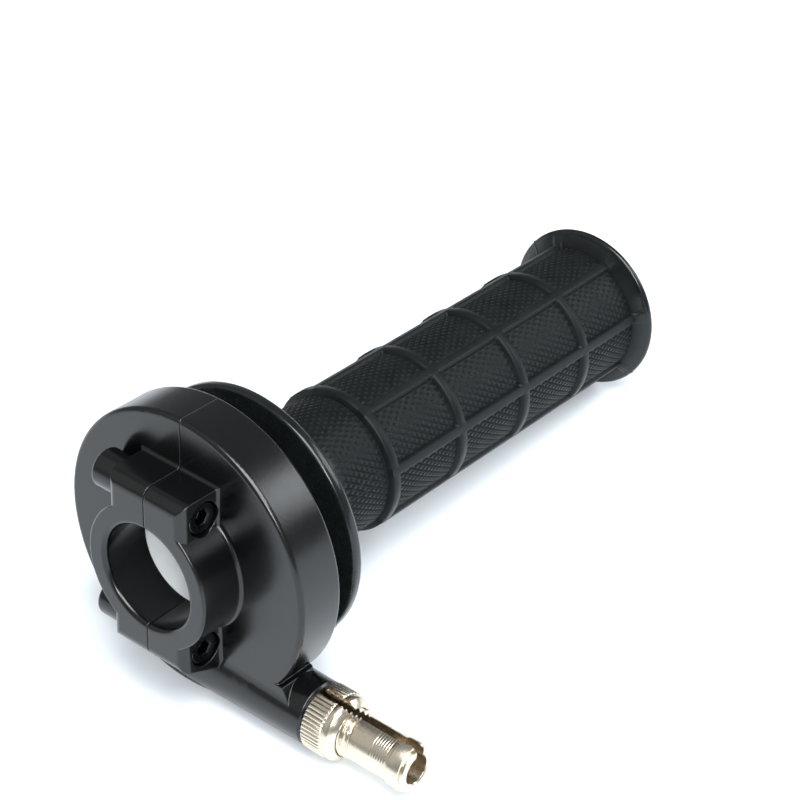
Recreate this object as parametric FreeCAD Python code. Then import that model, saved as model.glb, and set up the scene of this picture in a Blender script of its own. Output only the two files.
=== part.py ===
import FreeCAD, Part
import math
import os

# Quick-turn motorcycle throttle for the right end of a handlebar, in millimetres.
# The origin is the centre of the handlebar bore where its straight wall starts, inside the rounded mouth.
# +Y runs outboard along the handlebar, +Z is up, and the cable leaves towards +X.
# Lengths along Y are measured from the collar's inboard face, and the export moves the whole to the origin.
# The throttle opens with a positive turn about +Y, which draws the cable in from +X.

Vector = FreeCAD.Vector
ALONG_BAR = Vector(0, 1, 0)
ALONG_CABLE = Vector(1, 0, 0)

# ---- Driving dimensions ----

# Handlebar and the split collar that clamps it.
bar_diameter = 22.2
clamp_clearance = 0.05
collar_length = 10.0
collar_wall = 4.35
collar_edge_round = 0.5
mouth_round = 1.1
split_gap = 0.3          # slit between the two halves at the clamp
seam_depth = 0.35        # depth of the line that the slit leaves round the case

# Round case that holds the cable drum.
case_radius = 31.0
case_depth = 11.0
case_wall = 3.0
front_wall = 2.4
rear_wall = 2.2
case_front_round = 1.0
case_rear_round = 0.8
root_round = 0.8         # where the blocks and the collar meet the case
shoulder_depth = 0.9     # the stop for the tube, measured into the front wall
rear_hub_length = 4.8
rear_hub_wall = 4.2
rear_hub_round = 0.6

# Clamp blocks above and below the collar, with a blind boss on the left half of each.
block_half_width = 9.8
block_side_round = 2.0
block_edge_round = 2.6
block_cap = 1.15         # metal outside the counterbore
lower_block_slope = 3.6  # how much deeper the lower block is at the case than at its front
boss_length = 6.5
boss_radius = 4.1
boss_end_round = 0.8
boss_floor = 1.1

# Socket-head clamp screws and their spring washers.
screw_radius = 2.0
screw_length = 20.0
screw_head_radius = 3.5
screw_head_height = 4.0
screw_head_chamfer = 0.35
screw_head_recess = 0.5
socket_across_flats = 3.0
socket_sides = 6
socket_depth = 2.2
screw_bore_wall = 2.25   # metal between a screw and the handlebar bore
screw_setback = 6.0      # from the inboard face to the screw's axis
thread_fit = 0.05
shank_clearance = 0.25
head_clearance = 0.25
washer_radius = 3.45
washer_thickness = 0.9
washer_bore_clearance = 0.1
washer_split = 0.5
washer_split_slant = 25.0

# Throttle tube, a single moulding with the sector drum that winds the cable.
tube_clearance = 0.25
tube_wall = 1.85
tube_end_float = 0.15
running_clearance = 0.08
drum_side_play = 0.2
drum_edge_clearance = 0.6
drum_hub_wall = 3.4
drum_web_recess = 1.6
drum_rim_width = 5.6
cable_depth = 2.1        # from the drum's edge to the cable's centre
cable_radius = 0.75
groove_clearance = 0.35
nipple_radius = 3.0
nipple_clearance = 0.1
nipple_length = 4.6
nipple_angle = 40.0      # round the drum from its lowest point, the way it opens
opening_turn = 75.0
stop_start = 160.0       # the stop's two edges, by the same angle
stop_end = 176.0
stop_clearance = 0.5     # degrees left at each end of the travel
stop_side_gap = 0.6

# Cable snout on the right half.
snout_radius = 7.2
snout_tip_radius = 6.8
snout_overhang = 0.5
snout_lip = 0.5
snout_blend = 4.0        # hollow curve between the case's front and the snout
web_overhang = 1.2
web_depth = 9.2
web_ramp = 4.0           # length over which the web slopes down into the snout
web_corner_round = 0.8
cable_hole_radius = 1.6
adjuster_hole_depth = 15.0

# Slotted cable adjuster and its slotted lock nut.
adjuster_thread_radius = 5.0
adjuster_engagement = 9.0
adjuster_thread_exposed = 2.6
adjuster_fit = 0.08
adjuster_barrel_radius = 4.75
adjuster_barrel_length = 9.4
adjuster_ring_radius = 5.1
adjuster_ring_length = 3.1
adjuster_nose_length = 0.9
adjuster_nose_radius = 4.6
adjuster_ring_chamfer = 0.35
adjuster_bore_radius = 1.3
ferrule_radius = 3.0
ferrule_depth = 8.0
adjuster_slot_width = 2.1
adjuster_slot_angle = 80.0   # from +Y towards +Z
nut_seat_gap = 0.15
nut_radius = 7.0
nut_knurl_length = 5.0
nut_relief_radius = 6.75
nut_relief_length = 1.5
nut_chamfer_length = 1.2
nut_face_radius = 5.4
nut_edge_chamfer = 0.5
nut_slot_width = 2.1
nut_slot_angle = 96.0

# Rubber grip.
grip_start_gap = 2.4     # between the rear hub and the inboard flange
grip_length = 113.3
bond_gap = 0.02
flange_reach = 13.2      # from the neck to the flange's rim
flange_rim = 2.6
flange_rim_round = 0.9
neck_wall = 1.58         # rubber over the tube
bell_radius = 10.5
first_ring = 27.2        # from the flange's inboard face to the first ring's middle
ring_pitch = 21.5
ring_count = 4
ring_height = 0.9        # above the panels
ring_width = 2.2
ring_slope = 0.5
panel_wall = 1.98
rib_count = 7
rib_width = 2.0
rib_height = 0.75        # above the panels
rib_angle = 14.0         # of the first rib, from +X towards +Z
end_flange_reach = 3.7   # above the panels
end_flange_rim = 1.6
end_flange_round = 0.75
end_flange_underside = 1.4
end_wall = 3.0
dimple_radius = 5.7
dimple_depth = 1.1

# ---- Worked out from the values above ----

bar_radius = bar_diameter / 2
clamp_bore_radius = bar_radius + clamp_clearance
collar_radius = clamp_bore_radius + collar_wall

case_front = collar_length
case_back = case_front + case_depth
pocket_front = case_front + front_wall
pocket_back = case_back - rear_wall
pocket_radius = case_radius - case_wall
cable_plane = (pocket_front + pocket_back) / 2

tube_bore_radius = bar_radius + tube_clearance
tube_radius = tube_bore_radius + tube_wall
bearing_radius = tube_radius + running_clearance
tube_seat = case_front + shoulder_depth
tube_start = tube_seat + tube_end_float
rear_hub_radius = bearing_radius + rear_hub_wall
rear_hub_end = case_back + rear_hub_length

drum_radius = pocket_radius - drum_edge_clearance
pull_radius = drum_radius - cable_depth
groove_floor = pull_radius - cable_radius
groove_half_width = cable_radius + groove_clearance
drum_front = pocket_front + drum_side_play
drum_back = pocket_back - drum_side_play
drum_hub_radius = tube_radius + drum_hub_wall
drum_rim_inner = drum_radius - drum_rim_width

counterbore_radius = screw_head_radius + head_clearance
screw_height = clamp_bore_radius + screw_bore_wall + screw_radius
block_top = screw_height + counterbore_radius + block_cap
lower_slant = math.hypot(collar_length, lower_block_slope) / collar_length
lower_block_bottom = (screw_height + (counterbore_radius + block_cap) * lower_slant
                      + lower_block_slope * (collar_length - screw_setback) / collar_length)
counterbore_floor = block_half_width - screw_head_recess - screw_head_height - washer_thickness
screw_seat = counterbore_floor + washer_thickness
boss_end = -block_half_width - boss_length
screw_tip = screw_seat - screw_length
blind_hole_end = boss_end + boss_floor

snout_height = -pull_radius
snout_end = case_radius + snout_overhang
adjuster_hole_radius = adjuster_thread_radius + adjuster_fit
nut_start = snout_end + nut_seat_gap
nut_end = nut_start + nut_knurl_length + nut_relief_length + nut_chamfer_length
adjuster_start = snout_end - adjuster_engagement
thread_end = nut_end + adjuster_thread_exposed
barrel_end = thread_end + adjuster_barrel_length
ring_end = barrel_end + adjuster_ring_length
adjuster_end = ring_end + adjuster_nose_length

grip_start = rear_hub_end + grip_start_gap
grip_end = grip_start + grip_length
grip_bore_radius = tube_radius + bond_gap
neck_radius = grip_bore_radius + neck_wall
flange_radius = neck_radius + flange_reach
panel_radius = grip_bore_radius + panel_wall
ring_radius = panel_radius + ring_height
rib_radius = panel_radius + rib_height
end_flange_radius = panel_radius + end_flange_reach
tube_end = grip_end - end_wall - bond_gap
tail = 1.0               # how far a cutting tool runs past the face that it cuts


# ---- Shared shapes ----

def turned(points):
    """A solid of revolution about the bar's axis from (radius, y) points.

    A third value on a point is the middle of an arc that arrives there.
    """
    edges = []
    loop = points + [points[0]]
    for start, end in zip(loop, loop[1:]):
        first = Vector(start[0], start[1], 0)
        last = Vector(end[0], end[1], 0)
        if len(end) == 3:
            middle = Vector(end[2][0], end[2][1], 0)
            edges.append(Part.Arc(first, middle, last).toShape())
        else:
            edges.append(Part.makeLine(first, last))
    face = Part.Face(Part.Wire(edges))
    return face.revolve(Vector(0, 0, 0), ALONG_BAR, 360)


def quarter_middle(centre, radius, direction):
    """The middle of a quarter arc, with direction the signs of (radius, y) from its centre."""
    reach = radius * math.sqrt(0.5)
    return (centre[0] + direction[0] * reach, centre[1] + direction[1] * reach)


def rod(radius, start, end, y, z):
    """A cylinder along the cable's direction, from x = start to x = end."""
    return Part.makeCylinder(radius, end - start, Vector(start, y, z), ALONG_CABLE)


def ring(radius, start, end):
    """A cylinder round the bar's axis, from y = start to y = end."""
    return Part.makeCylinder(radius, end - start, Vector(0, start, 0), ALONG_BAR)


def box(low, high):
    return Part.makeBox(high[0] - low[0], high[1] - low[1], high[2] - low[2], Vector(*low))


def round_the_drum(radius, angle, y):
    """A point at an angle from the drum's lowest point, turning the way the throttle opens."""
    turn = math.radians(angle)
    return Vector(-radius * math.sin(turn), y, -radius * math.cos(turn))


def sector(inner, outer, start, end, front, back):
    """Part of a ring round the bar's axis, between two angles round the drum."""
    middle = (start + end) / 2
    corners = [round_the_drum(inner, start, front), round_the_drum(outer, start, front),
               round_the_drum(outer, end, front), round_the_drum(inner, end, front)]
    outer_arc = Part.Arc(corners[1], round_the_drum(outer, middle, front), corners[2])
    inner_arc = Part.Arc(corners[3], round_the_drum(inner, middle, front), corners[0])
    wire = Part.Wire([Part.makeLine(corners[0], corners[1]), outer_arc.toShape(),
                      Part.makeLine(corners[2], corners[3]), inner_arc.toShape()])
    return Part.Face(wire).extrude(Vector(0, back - front, 0))


def edges_where(shape, test):
    return [edge for edge in shape.Edges if test(edge)]


def radial_slot(width, reach, angle, start, end):
    """A slot from the cable's axis outwards, at an angle from +Y towards +Z."""
    slot = box((start, 0, -width / 2), (end, reach, width / 2))
    slot.rotate(Vector(0, 0, 0), ALONG_CABLE, angle)
    slot.translate(Vector(0, cable_plane, snout_height))
    return slot


# ---- Housing ----

def case_blank():
    """The closed round case with rounded rims."""
    blank = ring(case_radius, case_front, case_back)
    for place, size in ((case_front, case_front_round), (case_back, case_rear_round)):
        rim = edges_where(blank, lambda edge: abs(edge.CenterOfMass.y - place) < tail / 2
                          and len(edge.Vertexes) == 1)
        blank = blank.makeFillet(size, rim)
    return blank


def block_blank(side):
    """One clamp block: side is 1 for the upper block and -1 for the lower one."""
    outer_back = block_top if side > 0 else lower_block_bottom
    outer_front = block_top if side > 0 else lower_block_bottom - lower_block_slope
    profile = [Vector(0, 0, 0), Vector(0, pocket_front, 0), Vector(0, pocket_front, side * outer_back),
               Vector(0, case_front, side * outer_back), Vector(0, 0, side * outer_front)]
    face = Part.Face(Part.makePolygon(profile + [profile[0]]))
    face.translate(Vector(-block_half_width, 0, 0))
    block = face.extrude(Vector(2 * block_half_width, 0, 0))
    outer_front_edge = edges_where(block, lambda edge: edge.BoundBox.YMax < tail / 2
                                   and side * edge.CenterOfMass.z > outer_front - tail / 2)
    block = block.makeFillet(block_edge_round, outer_front_edge)
    plan = box((-block_half_width, 0, -lower_block_bottom), (block_half_width, pocket_front, block_top))
    front_sides = edges_where(plan, lambda edge: edge.BoundBox.YMax < tail / 2
                              and edge.BoundBox.XLength < tail / 2)
    return block.common(plan.makeFillet(block_side_round, front_sides))


def boss_blank(side):
    """The blind boss that takes the end of a clamp screw on the left half."""
    boss = rod(boss_radius, boss_end, 0, screw_setback, side * screw_height)
    end_edge = edges_where(boss, lambda edge: edge.BoundBox.XMax < boss_end + tail / 2)
    return boss.makeFillet(boss_end_round, end_edge)


def blend_section(x, radius):
    """Outline across the cable of the hollow curve where the case's front meets the snout."""
    reach = radius + snout_blend
    across = cable_plane - case_front + snout_blend
    centre = Vector(x, case_front - snout_blend, snout_height + math.sqrt(reach ** 2 - across ** 2))
    axis_point = Vector(x, cable_plane, snout_height)
    on_case = centre + Vector(0, snout_blend, 0)
    on_snout = centre + (axis_point - centre) * (snout_blend / reach)
    deepest = ((on_case + on_snout) / 2 - centre).normalize() * snout_blend + centre
    return Part.Wire([Part.Arc(on_case, deepest, on_snout).toShape(),
                      Part.makeLine(on_snout, axis_point), Part.makeLine(axis_point, on_case)])


def snout_blank():
    """The tapered snout, the web and hollow curve that join it to the case, and its round end."""
    taper_start = Vector(0, cable_plane, snout_height)
    cone = Part.makeCone(snout_radius, snout_tip_radius, snout_end - snout_lip, taper_start, ALONG_CABLE)
    lip = Part.makeCone(snout_tip_radius, snout_tip_radius - snout_lip, snout_lip,
                        Vector(snout_end - snout_lip, cable_plane, snout_height), ALONG_CABLE)
    dome = Part.makeSphere(snout_radius, taper_start)
    web_top = snout_height + snout_tip_radius
    rim_crossing = math.sqrt(case_radius ** 2 - web_top ** 2)
    web_edge = rim_crossing + web_overhang
    outline = [Vector(0, case_front, snout_height), Vector(0, case_front, web_top),
               Vector(web_edge, case_front, web_top), Vector(web_edge + web_ramp, case_front, snout_height)]
    side = Part.Face(Part.makePolygon(outline + [outline[0]]))
    web = side.extrude(Vector(0, web_depth, 0))
    back_slope = edges_where(web, lambda edge: edge.BoundBox.YMin > case_front + tail
                             and edge.BoundBox.XMax > web_edge + tail and edge.BoundBox.ZLength > tail)
    web = web.makeFillet(web_corner_round, back_slope)
    blend = Part.makeLoft([blend_section(0, snout_radius), blend_section(snout_end, snout_tip_radius)],
                          True, True)
    blend = blend.common(side.extrude(Vector(0, -snout_blend, 0)))
    return [cone, lip, dome, web, blend]


def housing_cavity():
    """Everything that is hollow in the two halves together."""
    mouth_radius = clamp_bore_radius + mouth_round
    bore = turned([(0, -tail), (mouth_radius, -tail), (mouth_radius, 0),
                   (clamp_bore_radius, mouth_round,
                    quarter_middle((mouth_radius, mouth_round), mouth_round, (-1, -1))),
                   (clamp_bore_radius, tube_seat + tail), (0, tube_seat + tail)])
    bearing = ring(bearing_radius, tube_seat, rear_hub_end + tail)
    pocket = ring(pocket_radius, pocket_front, pocket_back)
    cable_hole = rod(cable_hole_radius, 0, snout_end, cable_plane, snout_height)
    thread_hole = rod(adjuster_hole_radius, snout_end - adjuster_hole_depth, snout_end + tail,
                      cable_plane, snout_height)
    hollows = [bore, bearing, pocket, cable_hole, thread_hole]
    for side in (1, -1):
        height = side * screw_height
        hollows.append(rod(counterbore_radius, counterbore_floor, case_radius, screw_setback, height))
        hollows.append(rod(screw_radius + shank_clearance, 0, block_half_width, screw_setback, height))
        hollows.append(rod(screw_radius + thread_fit, blind_hole_end, 0, screw_setback, height))
    return hollows


def housing_halves():
    collar = ring(collar_radius, 0, pocket_front)
    collar_edge = edges_where(collar, lambda edge: edge.BoundBox.YMax < tail / 2)
    collar = collar.makeFillet(collar_edge_round, collar_edge)
    rear_hub = ring(rear_hub_radius, pocket_back, rear_hub_end)
    hub_edge = edges_where(rear_hub, lambda edge: edge.BoundBox.YMin > rear_hub_end - tail / 2)
    rear_hub = rear_hub.makeFillet(rear_hub_round, hub_edge)
    body = case_blank().fuse([collar, rear_hub, block_blank(1), block_blank(-1)]).removeSplitter()
    roots = edges_where(body, lambda edge: abs(edge.BoundBox.YMin - case_front) < thread_fit
                        and edge.BoundBox.YLength < thread_fit
                        and max(abs(edge.CenterOfMass.x), abs(edge.CenterOfMass.z)) > tail)
    body = body.makeFillet(root_round, roots)
    body = body.fuse([boss_blank(1), boss_blank(-1)] + snout_blank()).removeSplitter()
    body = body.cut(housing_cavity())
    stop = sector(drum_hub_radius + stop_side_gap, pocket_radius + tail, stop_start, stop_end,
                  pocket_front - tail, pocket_back + tail)
    body = body.fuse(stop).removeSplitter()

    reach = snout_end + rear_hub_end
    seam_core = ring(case_radius - seam_depth, case_front + seam_depth, case_back - seam_depth)
    slit = box((-split_gap / 2, -reach, -reach), (split_gap / 2, reach, reach)).cut(seam_core)
    right = body.common(box((0, -reach, -reach), (reach, reach, reach))).cut(slit)
    left = body.common(box((-reach, -reach, -reach), (0, reach, reach))).cut(slit)
    return right, left


# ---- Clamp screws ----

def clamp_screw(side):
    height = side * screw_height
    head_end = screw_seat + screw_head_height
    head = rod(screw_head_radius, screw_seat, head_end, screw_setback, height)
    rim = edges_where(head, lambda edge: edge.BoundBox.XMin > head_end - screw_head_chamfer)
    head = head.makeChamfer(screw_head_chamfer, rim)
    shank = rod(screw_radius, screw_tip, screw_seat, screw_setback, height)
    corner_radius = socket_across_flats / 2 / math.cos(math.pi / socket_sides)
    corners = []
    for index in range(socket_sides):
        turn = 2 * math.pi * index / socket_sides
        corners.append(Vector(head_end - socket_depth, screw_setback + corner_radius * math.cos(turn),
                              height + corner_radius * math.sin(turn)))
    socket = Part.Face(Part.makePolygon(corners + [corners[0]])).extrude(Vector(socket_depth + tail, 0, 0))
    return head.fuse(shank).removeSplitter().cut(socket)


def lock_washer(side):
    height = side * screw_height
    outside = rod(washer_radius, counterbore_floor, screw_seat, screw_setback, height)
    bore = rod(screw_radius + washer_bore_clearance, counterbore_floor, screw_seat, screw_setback, height)
    split = box((-washer_radius, -washer_split / 2, 0), (washer_radius, washer_split / 2, 2 * washer_radius))
    split.rotate(Vector(0, 0, 0), Vector(0, 0, 1), washer_split_slant)
    split.translate(Vector((counterbore_floor + screw_seat) / 2, screw_setback, height))
    return outside.cut([bore, split])


# ---- Throttle tube ----

def throttle_tube():
    """Tube and sector drum. The drum is cut away over the arc where the stop stands."""
    tube = ring(tube_radius, tube_start, tube_end)
    hub = ring(drum_hub_radius, drum_front, drum_back)
    trailing = stop_end + stop_clearance - 360
    leading = stop_start - stop_clearance - opening_turn
    drum = sector(tube_radius - tail, drum_radius, trailing, leading, drum_front, drum_back)
    body = tube.fuse([hub, drum]).removeSplitter()

    groove = turned([(groove_floor, cable_plane - groove_half_width),
                     (drum_radius + tail, cable_plane - groove_half_width),
                     (drum_radius + tail, cable_plane + groove_half_width),
                     (groove_floor, cable_plane + groove_half_width)])
    recesses = []
    for face, depth in ((drum_front, -drum_web_recess), (drum_back, drum_web_recess)):
        low, high = sorted((face + depth, face - depth))
        recess = ring(drum_rim_inner, low, high).cut(ring(drum_hub_radius, low, high))
        recesses.append(recess)
    pocket_centre = round_the_drum(groove_floor - nipple_radius / 2, nipple_angle, drum_front - tail)
    nipple_pocket = Part.makeCylinder(nipple_radius + nipple_clearance, nipple_length + tail,
                                      pocket_centre, ALONG_BAR)
    bore = ring(tube_bore_radius, tube_start - tail, tube_end + tail)
    return body.cut([groove, nipple_pocket, bore] + recesses)


# ---- Cable adjuster and lock nut ----

def cable_adjuster():
    """Threaded end, plain barrel and end ring, with a slot along the whole length for the cable."""
    axis = (cable_plane, snout_height)
    thread = rod(adjuster_thread_radius, adjuster_start, thread_end, *axis)
    thread = thread.makeChamfer(adjuster_ring_chamfer, edges_where(
        thread, lambda edge: len(edge.Vertexes) == 1))
    barrel = rod(adjuster_barrel_radius, thread_end - tail, barrel_end + tail, *axis)
    end_ring = rod(adjuster_ring_radius, barrel_end, ring_end, *axis)
    end_ring = end_ring.makeChamfer(adjuster_ring_chamfer, edges_where(
        end_ring, lambda edge: len(edge.Vertexes) == 1))
    nose = rod(adjuster_nose_radius, ring_end - tail, adjuster_end, *axis)
    body = thread.fuse([barrel, end_ring, nose]).removeSplitter()
    bore = rod(adjuster_bore_radius, adjuster_start - tail, adjuster_end, *axis)
    socket = rod(ferrule_radius, adjuster_end - ferrule_depth, adjuster_end + tail, *axis)
    slot = radial_slot(adjuster_slot_width, 2 * adjuster_thread_radius, adjuster_slot_angle,
                       adjuster_start - tail, adjuster_end + tail)
    return body.cut([bore, socket, slot])


def lock_nut():
    """Knurled length, plain shoulder and a long chamfer, slotted so that it passes over the cable."""
    axis = (cable_plane, snout_height)
    knurl_end = nut_start + nut_knurl_length
    relief_end = knurl_end + nut_relief_length
    knurl = rod(nut_radius, nut_start, knurl_end, *axis)
    knurl = knurl.makeChamfer(nut_edge_chamfer, edges_where(knurl, lambda edge: len(edge.Vertexes) == 1))
    shoulder = rod(nut_relief_radius, knurl_end - tail, relief_end, *axis)
    chamfer = Part.makeCone(nut_relief_radius, nut_face_radius, nut_chamfer_length,
                            Vector(relief_end, *axis), ALONG_CABLE)
    body = knurl.fuse([shoulder, chamfer]).removeSplitter()
    bore = rod(adjuster_hole_radius, nut_start - tail, nut_end + tail, *axis)
    slot = radial_slot(nut_slot_width, 2 * nut_radius, nut_slot_angle, nut_start - tail, nut_end + tail)
    return body.cut([bore, slot])


# ---- Grip ----

def grip_profile():
    """Half section of the grip from its inboard flange to its closed end, as turned() takes it."""
    rim_corner = flange_radius - flange_rim_round
    rim_back = grip_start + flange_rim
    bell_centre = (neck_radius + bell_radius, rim_back + bell_radius)
    points = [(grip_bore_radius, grip_start), (rim_corner, grip_start),
              (flange_radius, grip_start + flange_rim_round,
               quarter_middle((rim_corner, grip_start + flange_rim_round), flange_rim_round, (1, -1))),
              (flange_radius, rim_back - flange_rim_round),
              (rim_corner, rim_back,
               quarter_middle((rim_corner, rim_back - flange_rim_round), flange_rim_round, (1, 1))),
              (bell_centre[0], rim_back),
              (neck_radius, bell_centre[1], quarter_middle(bell_centre, bell_radius, (-1, -1)))]
    inner = neck_radius
    for index in range(ring_count):
        middle = grip_start + first_ring + index * ring_pitch
        points.append((inner, middle - ring_width / 2 - ring_slope))
        points.append((ring_radius, middle - ring_width / 2))
        points.append((ring_radius, middle + ring_width / 2))
        points.append((panel_radius, middle + ring_width / 2 + ring_slope))
        inner = panel_radius
    rim_front = grip_end - end_flange_rim
    corner = end_flange_radius - end_flange_round
    points += [(panel_radius, rim_front - end_flange_underside),
               (corner, rim_front),
               (end_flange_radius, rim_front + end_flange_round,
                quarter_middle((corner, rim_front + end_flange_round), end_flange_round, (1, -1))),
               (end_flange_radius, grip_end - end_flange_round),
               (corner, grip_end,
                quarter_middle((corner, grip_end - end_flange_round), end_flange_round, (1, 1))),
               (0, grip_end), (0, grip_end - end_wall), (grip_bore_radius, grip_end - end_wall)]
    return points


def grip():
    body = turned(grip_profile())
    rib_start = grip_start + first_ring
    rib_end = grip_end - end_flange_rim
    ribs = []
    for index in range(rib_count):
        rib = box((0, rib_start, -rib_width / 2), (2 * rib_radius, rib_end, rib_width / 2))
        rib = rib.common(ring(rib_radius, rib_start, rib_end)).cut(ring(neck_radius, rib_start, rib_end))
        rib.rotate(Vector(0, 0, 0), ALONG_BAR, -rib_angle - index * 360 / rib_count)
        ribs.append(rib)
    body = body.fuse(ribs).removeSplitter()
    ball_radius = (dimple_radius ** 2 + dimple_depth ** 2) / (2 * dimple_depth)
    dimple = Part.makeSphere(ball_radius, Vector(0, grip_end + ball_radius - dimple_depth, 0))
    return body.cut(dimple)


# ---- Export ----

os.makedirs("parts", exist_ok=True)
right_half, left_half = housing_halves()
nodes = {
    "housing_right_half": right_half,
    "housing_left_half": left_half,
    "clamp_screw_upper": clamp_screw(1),
    "clamp_screw_lower": clamp_screw(-1),
    "lock_washer_upper": lock_washer(1),
    "lock_washer_lower": lock_washer(-1),
    "throttle_tube": throttle_tube(),
    "grip": grip(),
    "cable_adjuster": cable_adjuster(),
    "lock_nut": lock_nut(),
}
for name, shape in nodes.items():
    solid = shape.Solids[0]
    solid.translate(Vector(0, -mouth_round, 0))
    print(name, "solids", len(shape.Solids), "valid", shape.isValid(), "volume", round(shape.Volume, 1))
    solid.exportStep("parts/" + name + ".step")
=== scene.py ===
import bmesh
import bpy
import math
from mathutils import Matrix, Vector


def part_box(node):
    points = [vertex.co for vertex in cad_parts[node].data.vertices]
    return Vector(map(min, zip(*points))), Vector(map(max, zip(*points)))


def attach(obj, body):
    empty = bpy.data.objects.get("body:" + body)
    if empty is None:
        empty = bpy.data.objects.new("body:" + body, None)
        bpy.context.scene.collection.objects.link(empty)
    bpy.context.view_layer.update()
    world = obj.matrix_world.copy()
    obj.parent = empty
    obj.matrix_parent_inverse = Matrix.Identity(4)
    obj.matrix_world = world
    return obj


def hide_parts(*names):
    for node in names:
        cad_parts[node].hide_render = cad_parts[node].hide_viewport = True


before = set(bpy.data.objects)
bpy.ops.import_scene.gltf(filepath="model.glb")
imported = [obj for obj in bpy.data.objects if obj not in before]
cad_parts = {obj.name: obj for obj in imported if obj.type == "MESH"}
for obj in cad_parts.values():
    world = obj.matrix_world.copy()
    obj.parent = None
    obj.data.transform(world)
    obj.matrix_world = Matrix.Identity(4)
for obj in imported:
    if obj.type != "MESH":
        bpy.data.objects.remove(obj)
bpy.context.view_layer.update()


# ---- Housing halves ----
# Two aluminium pressure die castings that close round the cable drum and clamp the handlebar.
# They are tumbled, then coated satin black, so edges are soft and faces carry a faint orange peel.
# The two clamp screws pull them together.

MM = 0.001

# A noise's values seldom leave this range.
NOISE_LOW, NOISE_HIGH = 0.3, 0.7
# A colour mix has one set of sockets for each kind of value. These are its share, its two colours
# and its result.
MIX_SHARE, MIX_FIRST, MIX_SECOND, MIX_RESULT = 0, 6, 7, 2


def tone(hex_colour):
    """Linear RGBA for a shader from an sRGB hex colour."""
    channels = []
    for start in (1, 3, 5):
        value = int(hex_colour[start:start + 2], 16) / 255
        channels.append(value / 12.92 if value <= 0.04045 else ((value + 0.055) / 1.055) ** 2.4)
    return (*channels, 1.0)


def add_node(material, kind, inputs, **settings):
    """Adds a shader node, sets its properties, and fills its inputs from values or other outputs."""
    tree = material.node_tree
    made = tree.nodes.new(kind)
    for name, value in settings.items():
        setattr(made, name, value)
    for name, value in inputs.items():
        if isinstance(value, bpy.types.NodeSocket):
            tree.links.new(value, made.inputs[name])
        else:
            made.inputs[name].default_value = value
    return made


def new_finish(name):
    """A material with its surface shader, ready for nodes."""
    material = bpy.data.materials.new(name)
    material.use_nodes = True
    return material, material.node_tree.nodes["Principled BSDF"]


def coated_casting():
    """Satin black powder coat on cast aluminium: near black, with a soft sheen, greyer on edges, partly
    from thin coat and partly as a painted highlight.
    """
    material, surface = new_finish("satin_black_coated_casting")
    links = material.node_tree.links
    place = add_node(material, "ShaderNodeTexCoord", {}).outputs["Object"]
    # Orange peel of a thin powder coat, about 0.7 mm from crest to crest.
    peel = add_node(material, "ShaderNodeTexNoise",
                    {"Vector": place, "Scale": 1 / (0.7 * MM), "Detail": 2.0, "Roughness": 0.5})
    # Pigment grain, really finer than 0.1 mm, drawn at 0.16 mm so that it shows.
    grain = add_node(material, "ShaderNodeTexNoise",
                     {"Vector": place, "Scale": 1 / (0.16 * MM), "Detail": 1.0, "Roughness": 0.5})
    # Handling leaves patches about 9 mm across that are a little duller than the rest.
    handling = add_node(material, "ShaderNodeTexNoise",
                        {"Vector": place, "Scale": 1 / (9 * MM), "Detail": 4.0, "Roughness": 0.6})
    softened = add_node(material, "ShaderNodeBevel", {"Radius": 0.35 * MM}, samples=8)
    relief = add_node(material, "ShaderNodeBump",
                      {"Strength": 0.35, "Distance": 0.02 * MM, "Height": peel.outputs["Fac"],
                       "Normal": softened.outputs["Normal"]})
    fine_relief = add_node(material, "ShaderNodeBump",
                           {"Strength": 0.3, "Distance": 0.01 * MM, "Height": grain.outputs["Fac"],
                            "Normal": relief.outputs["Normal"]})
    dullness = add_node(material, "ShaderNodeMapRange",
                        {"Value": handling.outputs["Fac"], "From Min": NOISE_LOW,
                         "From Max": NOISE_HIGH, "To Min": 0.19, "To Max": 0.27})
    # The coat is thin on edges, where the softened normal leaves the true one. The lighter edge colour
    # is partly that thin coat and partly a painted highlight for the light the edges catch.
    flat = add_node(material, "ShaderNodeNewGeometry", {}).outputs["Normal"]
    agreement = add_node(material, "ShaderNodeVectorMath",
                         {0: flat, 1: softened.outputs["Normal"]}, operation="DOT_PRODUCT")
    edge = add_node(material, "ShaderNodeMapRange",
                    {"Value": agreement.outputs["Value"], "From Min": 0.995, "From Max": 0.9,
                     "To Min": 0.0, "To Max": 1.0})
    colour = add_node(material, "ShaderNodeMix",
                      {MIX_SHARE: edge.outputs["Result"], MIX_FIRST: tone("#060708"),
                       MIX_SECOND: tone("#202325")}, data_type="RGBA")
    links.new(colour.outputs[MIX_RESULT], surface.inputs["Base Color"])
    links.new(dullness.outputs["Result"], surface.inputs["Roughness"])
    links.new(fine_relief.outputs["Normal"], surface.inputs["Normal"])
    return material


casting_coat = coated_casting()
for node_name in ("housing_right_half", "housing_left_half"):
    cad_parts[node_name].data.materials[0] = casting_coat


# ---- Spring washers ----
# One split ring of spring steel lies under each screw head and keeps the screw from working loose.
# It is coiled from flat wire, cut, and hardened in oil, which leaves it grey with a blue cast.


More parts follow.
